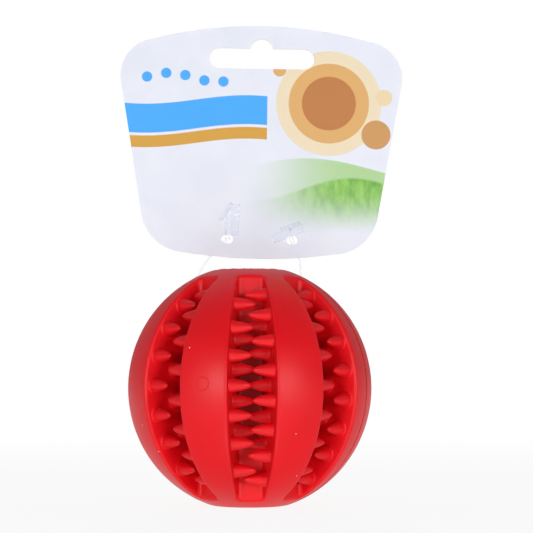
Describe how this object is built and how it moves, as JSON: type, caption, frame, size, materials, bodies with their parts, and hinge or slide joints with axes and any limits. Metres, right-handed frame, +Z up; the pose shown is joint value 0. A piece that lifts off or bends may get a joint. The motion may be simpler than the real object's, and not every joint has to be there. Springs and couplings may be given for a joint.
{
  "type": "treat dispensing ball",
  "caption": "Ribbed rubber chew ball with toothed grooves that hold treats, a squeaker in its upper pole, and a header card that swings on tag pins.",
  "frame": {"origin": "centre of the flat at the ball's lower pole, which the part stands on", "axes": "+Z up along the ball's axis to the card's top, -Y the front that the card's printed side faces, +X to the right of someone who looks at the front"},
  "size_m": [0.0813, 0.0688, 0.1375],
  "materials": {
    "red_rubber": "matte moulded rubber with a faint bloom",
    "white_plastic": "plain moulded",
    "reed_film": "smooth film",
    "clear_nylon": "clear, slightly milky",
    "printed_card": "smooth coated board, printed on the front"
  },
  "bodies": {
    "ball": {"front_half": "red_rubber", "back_half": "red_rubber", "front_teeth": "red_rubber", "back_teeth": "red_rubber", "squeaker_barrel": "white_plastic", "squeaker_cap": "white_plastic", "reed_block": "white_plastic", "reed_clamp": "white_plastic", "left_pin_loop": "clear_nylon", "right_pin_loop": "clear_nylon"},
    "reed": {"squeaker_reed": "reed_film"},
    "card": {"header_card": "printed_card", "left_tag_pin": "clear_nylon", "right_tag_pin": "clear_nylon"}
  },
  "joints": [
    {"name": "card_swing", "type": "hinge", "parent": "ball", "child": "card", "pos_m": [0, 0, 0.0653], "axis": [1, 0, 0], "range_deg": [-55, 55]},
    {"name": "reed_flex", "type": "hinge", "parent": "ball", "child": "reed", "pos_m": [0, 0, 0.0564], "axis": [1, 0, 0], "range_deg": [-3, 3], "stiffness_Nm_per_rad": 0.00001}
  ]
}
